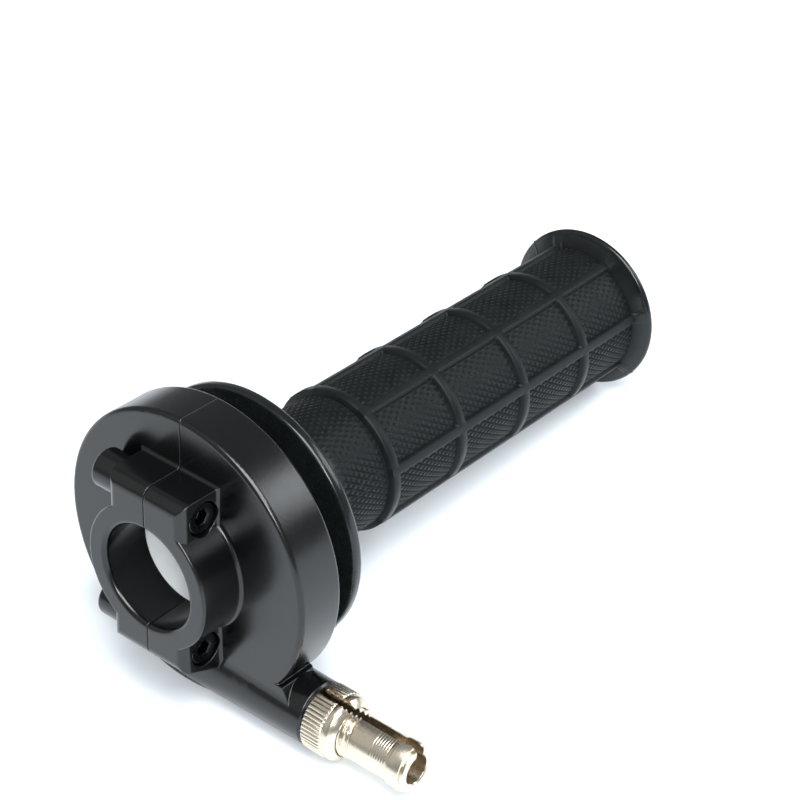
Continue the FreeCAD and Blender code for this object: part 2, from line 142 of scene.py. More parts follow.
def tempered_spring_steel():
    """Oil-hardened spring steel: dark grey metal with a patchy straw and blue temper colour."""
    material, surface = new_finish("tempered_spring_steel")
    links = material.node_tree.links
    place = add_node(material, "ShaderNodeTexCoord", {}).outputs["Object"]
    temper = add_node(material, "ShaderNodeTexNoise",
                      {"Vector": place, "Scale": 1 / (1.5 * MM), "Detail": 3.0})
    colour = add_node(material, "ShaderNodeMix",
                      {MIX_SHARE: temper.outputs["Fac"], MIX_FIRST: tone("#6b6f76"),
                       MIX_SECOND: tone("#7d776d")}, data_type="RGBA")
    dullness = add_node(material, "ShaderNodeMapRange",
                        {"Value": temper.outputs["Fac"], "From Min": NOISE_LOW,
                         "From Max": NOISE_HIGH, "To Min": 0.28, "To Max": 0.45})
    links.new(colour.outputs[MIX_RESULT], surface.inputs["Base Color"])
    links.new(dullness.outputs["Result"], surface.inputs["Roughness"])
    surface.inputs["Metallic"].default_value = 1.0
    return material


spring_steel = tempered_spring_steel()
for node_name in ("lock_washer_upper", "lock_washer_lower"):
    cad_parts[node_name].data.materials[0] = spring_steel


# ---- Clamp screws ----
# Two M4 socket-head screws, cold headed and thread rolled, with a black oxide finish.
# Each passes through the right half and threads into the blind boss of the left half.

SCREW_PITCH = 0.7 * MM
SCREW_THREAD_DEPTH = 0.4 * MM
SCREW_RADIUS = 2.0 * MM
SCREW_POINT = 0.3 * MM          # the lead-in would start this far before the screw's end
SCREW_LEAD_IN = 1.0 * MM
SCREW_LEAD_OUT = 0.8 * MM
SCREW_ROWS_PER_TURN = 10
SCREW_COLUMNS = 144
THREAD_ROOT = 0.12              # shares of half a pitch
THREAD_FLANK = 0.7
HEAD_HEIGHT = 4.0 * MM
HEAD_CHAMFER = 0.35 * MM
HEAD_SEAT_ROUND = 0.2 * MM
HEAD_CROWN_DROP = 0.05 * MM
HEAD_GROOVES = 36
HEAD_GROOVE_DEPTH = 0.09 * MM
HEAD_GROOVES_START = 0.5 * MM   # above the seat
HEAD_GROOVES_STOP = 2.2         # chamfers below the top
SOCKET_FLAT_RADIUS = 1.5 * MM
SOCKET_MOUTH = 1.28             # times the radius of the flats
SOCKET_MOUTH_DEPTH = 0.22 * MM
SOCKET_DEPTH = 2.2 * MM
SOCKET_DRILL_POINT = 0.5 * MM
WELD_DISTANCE = 0.002 * MM


def thread_height(along, turn, pitch):
    """How far up the thread's flank a point is, from 0 in the root to 1 on the crest."""
    phase = (along / pitch - turn / (2 * math.pi)) % 1
    flank = 2 * abs(phase - 0.5)
    return min(1.0, max(0.0, (flank - THREAD_ROOT) / THREAD_FLANK))


def lathe_skin(name, profile, columns, place, slot_width=0.0, slot_turn=0.0):
    """A turned skin. profile(turn) gives (along, radius) points, always as many.

    Without a slot the profile runs from the axis back to the axis. With one it is a closed loop,
    and the skin stops at the two parallel walls of the slot and is closed there.
    """
    points = []
    for column in range(columns + (1 if slot_width else 0)):
        share = column / columns
        for along, radius in profile(slot_turn + 2 * math.pi * share):
            inset = math.asin(slot_width / 2 / radius) if slot_width else 0.0
            turn = slot_turn + inset + (2 * math.pi - 2 * inset) * share
            points.append(place(along, radius, turn))
    height = len(profile(0.0))
    faces = []
    for column in range(columns):
        here = column * height
        there = (column + 1) * height if slot_width else ((column + 1) % columns) * height
        for row in range(height if slot_width else height - 1):
            above = (row + 1) % height
            faces.append((here + row, here + above, there + above, there + row))
    if slot_width:
        faces.append(tuple(reversed(range(height))))
        faces.append(tuple(range(columns * height, (columns + 1) * height)))
    mesh = bpy.data.meshes.new(name)
    mesh.from_pydata(points, [], faces)
    piece = bpy.data.objects.new(name, mesh)
    bpy.context.scene.collection.objects.link(piece)
    return piece


def clean_skin(piece, crease_degrees):
    """Welds doubled points, turns every face outwards and smooths all but the sharp edges."""
    skin = bmesh.new()
    skin.from_mesh(piece.data)
    bmesh.ops.remove_doubles(skin, verts=skin.verts, dist=WELD_DISTANCE)
    bmesh.ops.recalc_face_normals(skin, faces=skin.faces)
    for face in skin.faces:
        face.smooth = True
    skin.to_mesh(piece.data)
    skin.free()
    piece.data.set_sharp_from_angle(angle=math.radians(crease_degrees))


def screw_profile(turn):
    """Point, rolled thread, head with a finely grooved side, and the hexagon socket."""
    length = head_end - screw_tip
    shank_end = length - HEAD_HEIGHT
    points = [(0.0, 0.0), (0.0, SCREW_RADIUS - 2 * SCREW_THREAD_DEPTH)]
    rows = round(SCREW_ROWS_PER_TURN * shank_end / SCREW_PITCH)
    for row in range(rows + 1):
        along = shank_end * row / rows
        lead_in = min(1.0, (SCREW_POINT + along) / SCREW_LEAD_IN)
        lead_out = (shank_end - along) / SCREW_LEAD_OUT
        height = thread_height(along, turn, SCREW_PITCH) * min(lead_in, lead_out)
        points.append((along, SCREW_RADIUS - SCREW_THREAD_DEPTH * (1 - height)))
    groove = 0.5 + 0.5 * math.cos(HEAD_GROOVES * turn)
    side = head_radius - HEAD_GROOVE_DEPTH * groove
    hexagon_turn = (turn % (math.pi / 3)) - math.pi / 6
    hexagon = SOCKET_FLAT_RADIUS / math.cos(hexagon_turn)
    points += [(shank_end, head_radius - HEAD_CHAMFER),
               (shank_end + HEAD_SEAT_ROUND, head_radius),
               (shank_end + HEAD_GROOVES_START, side),
               (length - HEAD_GROOVES_STOP * HEAD_CHAMFER, side),
               (length - HEAD_CHAMFER, head_radius - HEAD_CROWN_DROP),
               (length, head_radius - HEAD_CHAMFER),
               (length, SOCKET_MOUTH * SOCKET_FLAT_RADIUS),
               (length - SOCKET_MOUTH_DEPTH, hexagon),
               (length - SOCKET_DEPTH, hexagon),
               (length - SOCKET_DEPTH - SOCKET_DRILL_POINT, 0.0)]
    return points


def black_oxide():
    """Hot black oxide on alloy steel: an oily blue-black film that wears bright on sharp edges, where
    the bright colour is partly wear and partly a painted glint.
    """
    material, surface = new_finish("black_oxide_steel")
    links = material.node_tree.links
    place = add_node(material, "ShaderNodeTexCoord", {}).outputs["Object"]
    film = add_node(material, "ShaderNodeTexNoise",
                    {"Vector": place, "Scale": 1 / (0.5 * MM), "Detail": 4.0})
    softened = add_node(material, "ShaderNodeBevel", {"Radius": 0.1 * MM}, samples=8)
    flat = add_node(material, "ShaderNodeNewGeometry", {}).outputs["Normal"]
    agreement = add_node(material, "ShaderNodeVectorMath",
                         {0: flat, 1: softened.outputs["Normal"]}, operation="DOT_PRODUCT")
    # Sharp edges get a bright colour: partly film worn to bare steel, partly a painted glint.
    edge_wear_and_painted_glint = add_node(material, "ShaderNodeMapRange",
                    {"Value": agreement.outputs["Value"], "From Min": 0.99, "From Max": 0.88})
    colour = add_node(material, "ShaderNodeMix",
                      {MIX_SHARE: edge_wear_and_painted_glint.outputs["Result"], MIX_FIRST: tone("#2b2c2e"),
                       MIX_SECOND: tone("#9a9a98")}, data_type="RGBA")
    dullness = add_node(material, "ShaderNodeMapRange",
                        {"Value": film.outputs["Fac"], "From Min": NOISE_LOW,
                         "From Max": NOISE_HIGH, "To Min": 0.22, "To Max": 0.4})
    links.new(colour.outputs[MIX_RESULT], surface.inputs["Base Color"])
    links.new(dullness.outputs["Result"], surface.inputs["Roughness"])
    links.new(softened.outputs["Normal"], surface.inputs["Normal"])
    surface.inputs["Metallic"].default_value = 1.0
    return material


oxide_finish = black_oxide()
for side in ("upper", "lower"):
    low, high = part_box("clamp_screw_" + side)
    screw_tip, head_end = low.x, high.x
    head_radius = (high.y - low.y) / 2
    screw_y, screw_z = (low.y + high.y) / 2, (low.z + high.z) / 2
    screw = lathe_skin("socket_head_screw_" + side, screw_profile, SCREW_COLUMNS,
                       lambda along, radius, turn: (screw_tip + along,
                                                    screw_y + radius * math.cos(turn),
                                                    screw_z + radius * math.sin(turn)))
    clean_skin(screw, crease_degrees=40)
    screw.data.materials.append(oxide_finish)
    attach(screw, "housing")
    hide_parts("clamp_screw_" + side)


# ---- Throttle tube ----
# One injection moulding in natural nylon: the sleeve that turns on the handlebar and the cable drum.
# Unfilled nylon is milky, so light goes a little way in and the moulded skin has a soft gloss.

def natural_nylon():
    """Unfilled nylon as moulded: milky white, faintly cloudy, with light scuffs from handling."""
    material, surface = new_finish("natural_nylon_moulding")
    links = material.node_tree.links
    place = add_node(material, "ShaderNodeTexCoord", {}).outputs["Object"]
    # Flow marks follow the sleeve, so the cloudiness is drawn out along it.
    stretched = add_node(material, "ShaderNodeMapping", {"Vector": place, "Scale": (1.0, 0.25, 1.0)})
    cloud = add_node(material, "ShaderNodeTexNoise",
                     {"Vector": stretched.outputs["Vector"], "Scale": 1 / (6 * MM), "Detail": 3.0})
    scuffs = add_node(material, "ShaderNodeTexNoise",
                      {"Vector": place, "Scale": 1 / (0.4 * MM), "Detail": 2.0})
    colour = add_node(material, "ShaderNodeMix",
                      {MIX_SHARE: cloud.outputs["Fac"], MIX_FIRST: tone("#fcfefe"),
                       MIX_SECOND: tone("#f2f7f8")}, data_type="RGBA")
    dullness = add_node(material, "ShaderNodeMapRange",
                        {"Value": scuffs.outputs["Fac"], "From Min": NOISE_LOW,
                         "From Max": NOISE_HIGH, "To Min": 0.32, "To Max": 0.46})
    relief = add_node(material, "ShaderNodeBump",
                      {"Strength": 0.2, "Distance": 0.01 * MM, "Height": scuffs.outputs["Fac"]})
    links.new(colour.outputs[MIX_RESULT], surface.inputs["Base Color"])
    links.new(dullness.outputs["Result"], surface.inputs["Roughness"])
    links.new(relief.outputs["Normal"], surface.inputs["Normal"])
    surface.inputs["IOR"].default_value = 1.53
    surface.inputs["Subsurface Weight"].default_value = 0.35
    surface.inputs["Subsurface Radius"].default_value = (1.0, 1.0, 1.0)
    surface.inputs["Subsurface Scale"].default_value = 1.2 * MM
    return material


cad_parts["throttle_tube"].data.materials[0] = natural_nylon()


# ---- Rubber grip ----
# A sleeve of black rubber with a closed end, moulded in a two-part mould and glued on the tube.
# The mould's diamond knurling, seven ribs and four rings are cut sharp, and its halves leave a flash.

GRIP_BORE = 13.22 * MM
FLANGE_FACE = 3.0 * MM       # a row on the inboard face, out from the bore
FLANGE_RIM = 2.6 * MM
FLANGE_ROUND = 0.9 * MM
NECK_RADIUS = 14.8 * MM
BELL_RADIUS = 10.5 * MM
FIRST_RING = 27.2 * MM       # from the inboard face to the first ring's middle
RING_PITCH = 21.5 * MM
RING_COUNT = 4
RING_RADIUS = 16.0 * MM
RING_HALF_WIDTH = 1.1 * MM
RING_FOOT = 0.3 * MM
RING_EDGE = 0.14 * MM
FOOT_SINK = 0.12 * MM
PANEL_RADIUS = 15.2 * MM
RIB_COUNT = 7
RIB_RADIUS = 16.0 * MM
RIB_ANGLE = math.radians(14.0)
RIB_SHOULDER_DROP = 0.02 * MM
RIB_EDGE_DROP = 0.14 * MM
END_WALL = 3.0 * MM
END_RADIUS = 18.9 * MM
END_RIM = 1.6 * MM
END_ROUND = 0.75 * MM
END_UNDERSIDE = 1.4 * MM
END_UNDERSIDE_STEP = 0.05 * MM
END_UNDERSIDE_LIP = 0.25 * MM
END_UNDERSIDE_REACH = 0.6 * MM
DIMPLE_DEPTH = 1.1 * MM
# The end face and its dimple, as shares of the end's radius and of the dimple's depth.
DIMPLE_PROFILE = ((0.8, 0.0), (0.6, 0.0), (0.42, 0.0), (0.33, 0.04), (0.29, 0.14), (0.22, 0.5),
                  (0.13, 0.85), (0.05, 0.99), (0.0, 1.0))
ROUND_STEPS = 5
BELL_STEPS = 14
DIAMONDS_ROUND = 63          # nine to each rib, and nine along each ring pitch
STEPS_PER_DIAMOND = 4
KNURL_DEPTH = 0.44 * MM
KNURL_FADE = 1.5             # knurl steps over which it starts beside the bell
# From a rib's middle, in knurl steps: its flat, its shoulder, its edge and its foot.
RIB_FLAT, RIB_SHOULDER, RIB_EDGE, RIB_FOOT = 1.0, 2.1, 2.5, 3.25
FIRST_PANEL_STEP = 4         # the first knurl step beside a rib's foot
FIRST_PANEL_ROW = 3          # and the first beside a ring's foot
LAST_ROW_GAP = 0.1           # knurl steps, so that no row lies on the next ring's foot
FLASH_RIB = 6                # the mould closes along this rib
FLASH_HEIGHT = 0.12 * MM
FLASH_SHOULDER, FLASH_FOOT = 0.12, 0.3   # in knurl steps from the flash's crest

low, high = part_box("grip")
grip_start, grip_end = low.y, high.y
flange_radius = high.x
diamond_length = RING_PITCH * RIB_COUNT / DIAMONDS_ROUND
steps_per_rib = DIAMONDS_ROUND * STEPS_PER_DIAMOND // RIB_COUNT
step_angle = 2 * math.pi / (DIAMONDS_ROUND * STEPS_PER_DIAMOND)
row_step = diamond_length / STEPS_PER_DIAMOND
ring_zero = grip_start + FIRST_RING

# Across one rib pitch, the rib's own lines take the place of the nearest knurl steps.
rib_columns = [0.0, RIB_FLAT, RIB_SHOULDER, RIB_EDGE, RIB_FOOT]
rib_columns += [float(step) for step in range(FIRST_PANEL_STEP, steps_per_rib - FIRST_PANEL_STEP + 1)]
rib_columns += [steps_per_rib - step for step in (RIB_FOOT, RIB_EDGE, RIB_SHOULDER, RIB_FLAT)]
grip_columns = []
for rib in range(RIB_COUNT):
    for step in rib_columns:
        grip_columns.append(rib * steps_per_rib + step)
for beside in (FLASH_SHOULDER, FLASH_FOOT):
    for sign in (-1, 1):
        grip_columns.append((FLASH_RIB * steps_per_rib + sign * beside) % (RIB_COUNT * steps_per_rib))
        grip_columns.append((FLASH_RIB - RIB_COUNT / 2) * steps_per_rib + sign * beside)
grip_columns.sort()


def between(value, table):
    """Straight-line reading of a table of (value, result) pairs, held at both ends."""
    if value <= table[0][0]:
        return table[0][1]
    for (left, first), (right, last) in zip(table, table[1:]):
        if value <= right:
            return first + (last - first) * (value - left) / (right - left)
    return table[-1][1]


def groove_depth(step, along):
    """Depth of the diamond knurling, deepest where two grooves cross."""
    across = step / STEPS_PER_DIAMOND
    lengthwise = (along - ring_zero) / diamond_length
    deepest = 0.0
    for line in (across + lengthwise, across - lengthwise):
        off = abs(line - round(line)) * STEPS_PER_DIAMOND
        deepest = max(deepest, 1.0 - off)
    return KNURL_DEPTH * deepest


def from_rib(step):
    """Knurl steps from the middle of the nearest rib."""
    off = step % steps_per_rib
    return min(off, steps_per_rib - off)


def from_flash(step):
    """Knurl steps from the nearer of the two lines where the mould halves meet."""
    half = RIB_COUNT * steps_per_rib / 2
    off = (step - FLASH_RIB * steps_per_rib) % half
    return min(off, half - off)


def arc_rows(centre, radius, start, end, count):
    """Rows (along, radius) round part of a circle, by angles from outwards towards the end."""
    rows = []
    for index in range(count + 1):
        angle = math.radians(start + (end - start) * index / count)
        rows.append((centre[0] + radius * math.sin(angle), centre[1] + radius * math.cos(angle)))
    return rows


# Each row is (along, radius, kind). "plain" is bare rubber and "flash" also carries the mould line.
# "neck" and "panel" are knurled, "ring" is a ring's crest, a "foot" is the ground beside a ring,
# and "under" is the ground beside the end flange.
grip_rows = [(grip_end - END_WALL, 0.0, "plain"), (grip_end - END_WALL, GRIP_BORE, "plain"),
             (grip_start, GRIP_BORE, "plain"), (grip_start, GRIP_BORE + FLANGE_FACE, "plain")]
for along, radius in arc_rows((grip_start + FLANGE_ROUND, flange_radius - FLANGE_ROUND),
                              FLANGE_ROUND, -90, 0, ROUND_STEPS):
    grip_rows.append((along, radius, "flash"))
rim_back = grip_start + FLANGE_RIM
for along, radius in arc_rows((rim_back - FLANGE_ROUND, flange_radius - FLANGE_ROUND),
                              FLANGE_ROUND, 0, 90, ROUND_STEPS):
    grip_rows.append((along, radius, "flash"))
for along, radius in arc_rows((rim_back + BELL_RADIUS, NECK_RADIUS + BELL_RADIUS),
                              BELL_RADIUS, 270, 180, BELL_STEPS):
    grip_rows.append((along, radius, "flash"))
neck_steps = int((FIRST_RING - FLANGE_RIM - BELL_RADIUS) / row_step)
for step in range(neck_steps, FIRST_PANEL_ROW - 1, -1):
    grip_rows.append((ring_zero - step * row_step, NECK_RADIUS, "neck"))
rim_front = grip_end - END_RIM
foot = RING_HALF_WIDTH + RING_FOOT
crest = RING_HALF_WIDTH - RING_EDGE
ring_section = ((-RING_HALF_WIDTH, RING_EDGE), (-crest, 0.0), (crest, 0.0),
                (RING_HALF_WIDTH, RING_EDGE))
for ring in range(RING_COUNT):
    middle = ring_zero + ring * RING_PITCH
    if ring == 0:
        grip_rows.append((middle - foot, NECK_RADIUS, "neck foot"))
    else:
        grip_rows.append((middle - foot, PANEL_RADIUS, "foot"))
    for offset, drop in ring_section:
        grip_rows.append((middle + offset, RING_RADIUS - drop, "ring"))
    grip_rows.append((middle + foot, PANEL_RADIUS, "foot"))
    panel_end = RING_PITCH - foot
    if ring == RING_COUNT - 1:
        panel_end = rim_front - END_UNDERSIDE - middle
    step = FIRST_PANEL_ROW
    while (step + LAST_ROW_GAP) * row_step < panel_end:
        grip_rows.append((middle + step * row_step, PANEL_RADIUS, "panel"))
        step += 1
grip_rows.append((rim_front - END_UNDERSIDE, PANEL_RADIUS + END_UNDERSIDE_STEP, "under"))
grip_rows.append((rim_front - END_UNDERSIDE_LIP, END_RADIUS - END_ROUND - END_UNDERSIDE_REACH,
                  "flash"))
for along, radius in arc_rows((rim_front + END_ROUND, END_RADIUS - END_ROUND),
                              END_ROUND, -80, 0, ROUND_STEPS):
    grip_rows.append((along, radius, "flash"))
for along, radius in arc_rows((grip_end - END_ROUND, END_RADIUS - END_ROUND),
                              END_ROUND, 0, 90, ROUND_STEPS):
    grip_rows.append((along, radius, "flash"))
for share, sink in DIMPLE_PROFILE:
    grip_rows.append((grip_end - sink * DIMPLE_DEPTH, share * END_RADIUS, "flash"))


def grip_radius(step, along, radius, kind):
    """Where the surface lies at one column and row, with the knurling, ribs and flash."""
    flash = FLASH_HEIGHT * max(0.0, 1.0 - from_flash(step) / FLASH_FOOT)
    if kind == "neck":
        fade = min(1.0, (along - rim_back - BELL_RADIUS) / (KNURL_FADE * row_step))
        return radius - groove_depth(step, along) * fade + flash
    if kind in ("panel", "foot", "under"):
        ground = radius - {"panel": groove_depth(step, along), "foot": FOOT_SINK, "under": 0.0}[kind]
        rib = between(from_rib(step), ((RIB_FLAT, RIB_RADIUS),
                                       (RIB_SHOULDER, RIB_RADIUS - RIB_SHOULDER_DROP),
                                       (RIB_EDGE, RIB_RADIUS - RIB_EDGE_DROP), (RIB_FOOT, ground)))
        return rib + flash
    if kind == "neck foot":
        return radius - FOOT_SINK + flash
    if kind == "ring":
        rib = between(from_rib(step), ((RIB_SHOULDER, RIB_RADIUS), (RIB_FOOT, 0.0)))
        return max(radius, rib) + flash
    if kind == "flash" and radius > GRIP_BORE:
        return radius + flash
    return radius


def grip_skin():
    """The whole grip as one closed skin.

    The corner that a face starts from sets which way it is cut in two, so that the cut follows the
    knurl's grooves.
    """
    points = []
    for along, radius, kind in grip_rows:
        for step in grip_columns:
            turn = RIB_ANGLE + step * step_angle
            reach = grip_radius(step, along, radius, kind)
            points.append((reach * math.cos(turn), along, reach * math.sin(turn)))
    width = len(grip_columns)
    faces = []
    for row in range(len(grip_rows) - 1):
        along = grip_rows[row][0]
        lengthwise = round((along - ring_zero) / row_step)
        for column in range(width):
            beside = (column + 1) % width
            across = int(grip_columns[column] + 0.5)
            corners = (row * width + column, row * width + beside,
                       (row + 1) * width + beside, (row + 1) * width + column)
            rising = (across - lengthwise) % STEPS_PER_DIAMOND
            falling = (across + lengthwise + 1) % STEPS_PER_DIAMOND
            if min(falling, STEPS_PER_DIAMOND - falling) < min(rising, STEPS_PER_DIAMOND - rising):
                corners = corners[1:] + corners[:1]
            faces.append(corners)
    mesh = bpy.data.meshes.new("rubber_grip")
    mesh.from_pydata(points, [], faces)
    piece = bpy.data.objects.new("rubber_grip", mesh)
    bpy.context.scene.collection.objects.link(piece)
    return piece


def moulded_rubber():
    """Black natural rubber: matt and slightly grey where knurled, with a waxy sheen elsewhere."""
    material, surface = new_finish("moulded_black_rubber")
    links = material.node_tree.links
    place = add_node(material, "ShaderNodeTexCoord", {}).outputs["Object"]
    # Spark-eroded mould skin, really 0.05 mm grain, drawn at 0.13 mm so that it shows.
    skin = add_node(material, "ShaderNodeTexNoise",
                    {"Vector": place, "Scale": 1 / (0.13 * MM), "Detail": 2.0, "Roughness": 0.6})
    # Bloom: wax and dust that leave the rubber unevenly grey over a few millimetres.
    bloom = add_node(material, "ShaderNodeTexNoise",
                     {"Vector": place, "Scale": 1 / (4 * MM), "Detail": 5.0, "Roughness": 0.65})
    # The knurled length is matt. It starts at the end of the bell and stops at the end flange.
    along = add_node(material, "ShaderNodeSeparateXYZ", {"Vector": place}).outputs["Y"]
    knurled = add_node(material, "ShaderNodeMapRange",
                       {"Value": along, "From Min": rim_back + 0.7 * BELL_RADIUS,
                        "From Max": rim_back + 1.1 * BELL_RADIUS})
    end_face = add_node(material, "ShaderNodeMapRange",
                        {"Value": along, "From Min": rim_front - END_UNDERSIDE, "From Max": rim_front})
    matt = add_node(material, "ShaderNodeMath",
                    {0: knurled.outputs["Result"], 1: end_face.outputs["Result"]}, operation="SUBTRACT")
    bloom_amount = add_node(material, "ShaderNodeMapRange",
                            {"Value": bloom.outputs["Fac"], "From Min": 0.35, "From Max": 0.7})
    colour = add_node(material, "ShaderNodeMix",
                      {MIX_SHARE: bloom_amount.outputs["Result"], MIX_FIRST: tone("#0b0e0f"),
                       MIX_SECOND: tone("#101415")}, data_type="RGBA")
    dullness = add_node(material, "ShaderNodeMapRange",
                        {"Value": matt.outputs["Value"], "To Min": 0.2, "To Max": 0.41})
    uneven = add_node(material, "ShaderNodeMath",
                      {0: bloom_amount.outputs["Result"], 1: 0.17, 2: dullness.outputs["Result"]},
                      operation="MULTIPLY_ADD")
    # Wax that has come to the surface polishes the bell and the end face, where no knurl breaks it up.
    wax = add_node(material, "ShaderNodeMapRange",
                   {"Value": matt.outputs["Value"], "To Min": 0.45, "To Max": 0.0})
    relief = add_node(material, "ShaderNodeBump",
                      {"Strength": 0.45, "Distance": 0.02 * MM, "Height": skin.outputs["Fac"]})
    links.new(colour.outputs[MIX_RESULT], surface.inputs["Base Color"])
    links.new(uneven.outputs["Value"], surface.inputs["Roughness"])
    links.new(wax.outputs["Result"], surface.inputs["Coat Weight"])
    links.new(relief.outputs["Normal"], surface.inputs["Normal"])
    surface.inputs["IOR"].default_value = 1.5
    surface.inputs["Specular IOR Level"].default_value = 0.2
    surface.inputs["Coat Roughness"].default_value = 0.12
    surface.inputs["Sheen Weight"].default_value = 0.03
    surface.inputs["Sheen Roughness"].default_value = 0.4
    return material


grip = grip_skin()
clean_skin(grip, crease_degrees=50)
grip.data.materials.append(moulded_rubber())
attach(grip, "twist_grip")
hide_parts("grip")


# ---- Cable adjuster ----
# Turned brass with bright nickel plate: a thread into the snout, a barrel and a ringed end socket.
# A slot along it lets the cable be laid in. It screws in or out to set the cable's free play.

ADJUSTER_PITCH = 1.25 * MM
ADJUSTER_THREAD_RADIUS = 5.0 * MM
ADJUSTER_THREAD_DEPTH = 0.62 * MM
ADJUSTER_LEAD_IN = 0.8 * MM
ADJUSTER_LEAD_OUT = 0.5 * MM
ADJUSTER_ROWS_PER_TURN = 14
ADJUSTER_COLUMNS = 120
THREAD_EXPOSED = 2.6 * MM
THREAD_SHOULDER = 0.05 * MM
BARREL_RADIUS = 4.75 * MM
BARREL_LENGTH = 9.4 * MM
TURNED_RINGS_START = 4.9 * MM    # from the thread's end, along the barrel
TURNED_RINGS_PITCH = 0.58 * MM
TURNED_RINGS_COUNT = 7
TURNED_RINGS_DEPTH = 0.07 * MM
# One turned ring's hollow, as shares of the pitch and of the depth.
TURNED_RING_SECTION = ((-0.42, 0.0), (-0.2, 0.7), (0.0, 1.0), (0.2, 0.7), (0.42, 0.0))
END_RING_RADIUS = 5.1 * MM
END_RING_LENGTH = 3.1 * MM
END_RING_ROUND = 0.25 * MM
# The end ring's outer corner, each point as a distance back from its end and a drop in radius.
END_RING_CORNER = ((0.3 * MM, 0.0), (0.1 * MM, 0.08 * MM), (0.0, 0.3 * MM))
NOSE_RADIUS = 4.6 * MM
NOSE_ROOT_ROUND = 0.06 * MM
NOSE_ROOT_LENGTH = 0.16 * MM
NOSE_ROUND = 0.45 * MM
NOSE_ROUND_MIDDLE = 0.13 * MM
CABLE_BORE = 1.3 * MM
SOCKET_RADIUS = 3.0 * MM
SOCKET_LENGTH = 8.0 * MM
SOCKET_CHAMFER = 0.25 * MM
SLOT_WIDTH = 2.1 * MM
ADJUSTER_SLOT = math.radians(80.0)

low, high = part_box("cable_adjuster")
adjuster_start, adjuster_end = low.x, high.x
nut_low, nut_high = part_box("lock_nut")
thread_end = nut_high.x + THREAD_EXPOSED
barrel_end = thread_end + BARREL_LENGTH
ring_end = barrel_end + END_RING_LENGTH
cable_y = (low.y + high.y) / 2
cable_z = low.z + END_RING_RADIUS


def on_cable_line(along, radius, turn):
    """A point round the cable's line, by its turn from outboard towards up."""
    return (along, cable_y + radius * math.cos(turn), cable_z + radius * math.sin(turn))


def adjuster_profile(turn):
    """Closed outline through the wall: thread, barrel, end ring and nose, then back by the bore."""
    points = []
    rows = round(ADJUSTER_ROWS_PER_TURN * (thread_end - adjuster_start) / ADJUSTER_PITCH)
    for row in range(rows + 1):
        along = adjuster_start + (thread_end - adjuster_start) * row / rows
        lead_in = min(1.0, (along - adjuster_start) / ADJUSTER_LEAD_IN)
        lead_out = min(1.0, (thread_end - along) / ADJUSTER_LEAD_OUT)
        height = thread_height(along, turn, ADJUSTER_PITCH) * min(lead_in, lead_out)
        points.append((along, ADJUSTER_THREAD_RADIUS - ADJUSTER_THREAD_DEPTH * (1 - height)))
    points.append((thread_end + THREAD_SHOULDER, BARREL_RADIUS))
    rings_start = thread_end + TURNED_RINGS_START
    points.append((rings_start, BARREL_RADIUS))
    for ring in range(TURNED_RINGS_COUNT):
        middle = rings_start + (ring + 0.5) * TURNED_RINGS_PITCH
        for offset, sink in TURNED_RING_SECTION:
            points.append((middle + offset * TURNED_RINGS_PITCH,
                           BARREL_RADIUS - sink * TURNED_RINGS_DEPTH))
    points += [(barrel_end, BARREL_RADIUS),
               (barrel_end, END_RING_RADIUS - END_RING_ROUND),
               (barrel_end + END_RING_ROUND, END_RING_RADIUS)]
    for back, drop in END_RING_CORNER:
        points.append((ring_end - back, END_RING_RADIUS - drop))
    points += [(ring_end + NOSE_ROOT_ROUND, NOSE_RADIUS - NOSE_ROOT_ROUND),
               (ring_end + NOSE_ROOT_LENGTH, NOSE_RADIUS),
               (adjuster_end - NOSE_ROUND, NOSE_RADIUS),
               (adjuster_end - NOSE_ROUND_MIDDLE, NOSE_RADIUS - NOSE_ROUND_MIDDLE),
               (adjuster_end, NOSE_RADIUS - NOSE_ROUND),
               (adjuster_end, SOCKET_RADIUS + SOCKET_CHAMFER),
               (adjuster_end - SOCKET_CHAMFER, SOCKET_RADIUS),
               (adjuster_end - SOCKET_LENGTH, SOCKET_RADIUS),
               (adjuster_end - SOCKET_LENGTH, CABLE_BORE),
               (adjuster_start, CABLE_BORE)]
    return points


def bright_nickel():
    """Nickel on turned brass: warm and bright, softened and streaked round the axis by the tool."""
    material, surface = new_finish("bright_nickel_plate")
    links = material.node_tree.links
    place = add_node(material, "ShaderNodeTexCoord", {}).outputs["Object"]
    # Tool marks run round the axis, really 0.08 mm apart, drawn 0.2 mm apart so that they show.
    streaked = add_node(material, "ShaderNodeMapping", {"Vector": place, "Scale": (1.0, 0.06, 0.06)})
    rings = add_node(material, "ShaderNodeTexNoise",
                     {"Vector": streaked.outputs["Vector"], "Scale": 1 / (0.2 * MM), "Detail": 3.0})
    stain = add_node(material, "ShaderNodeTexNoise",
                     {"Vector": place, "Scale": 1 / (2.5 * MM), "Detail": 4.0, "Roughness": 0.6})
    colour = add_node(material, "ShaderNodeMix",
                      {MIX_SHARE: stain.outputs["Fac"], MIX_FIRST: tone("#e4dac9"),
                       MIX_SECOND: tone("#d0c4b0")}, data_type="RGBA")
    dullness = add_node(material, "ShaderNodeMapRange",
                        {"Value": stain.outputs["Fac"], "From Min": NOISE_LOW,
                         "From Max": NOISE_HIGH, "To Min": 0.2, "To Max": 0.3})
    softened = add_node(material, "ShaderNodeBevel", {"Radius": 0.08 * MM}, samples=6)
    relief = add_node(material, "ShaderNodeBump",
                      {"Strength": 0.8, "Distance": 0.04 * MM, "Height": rings.outputs["Fac"],
                       "Normal": softened.outputs["Normal"]})
    links.new(colour.outputs[MIX_RESULT], surface.inputs["Base Color"])
    links.new(dullness.outputs["Result"], surface.inputs["Roughness"])
    links.new(relief.outputs["Normal"], surface.inputs["Normal"])
    surface.inputs["Metallic"].default_value = 1.0
    return material


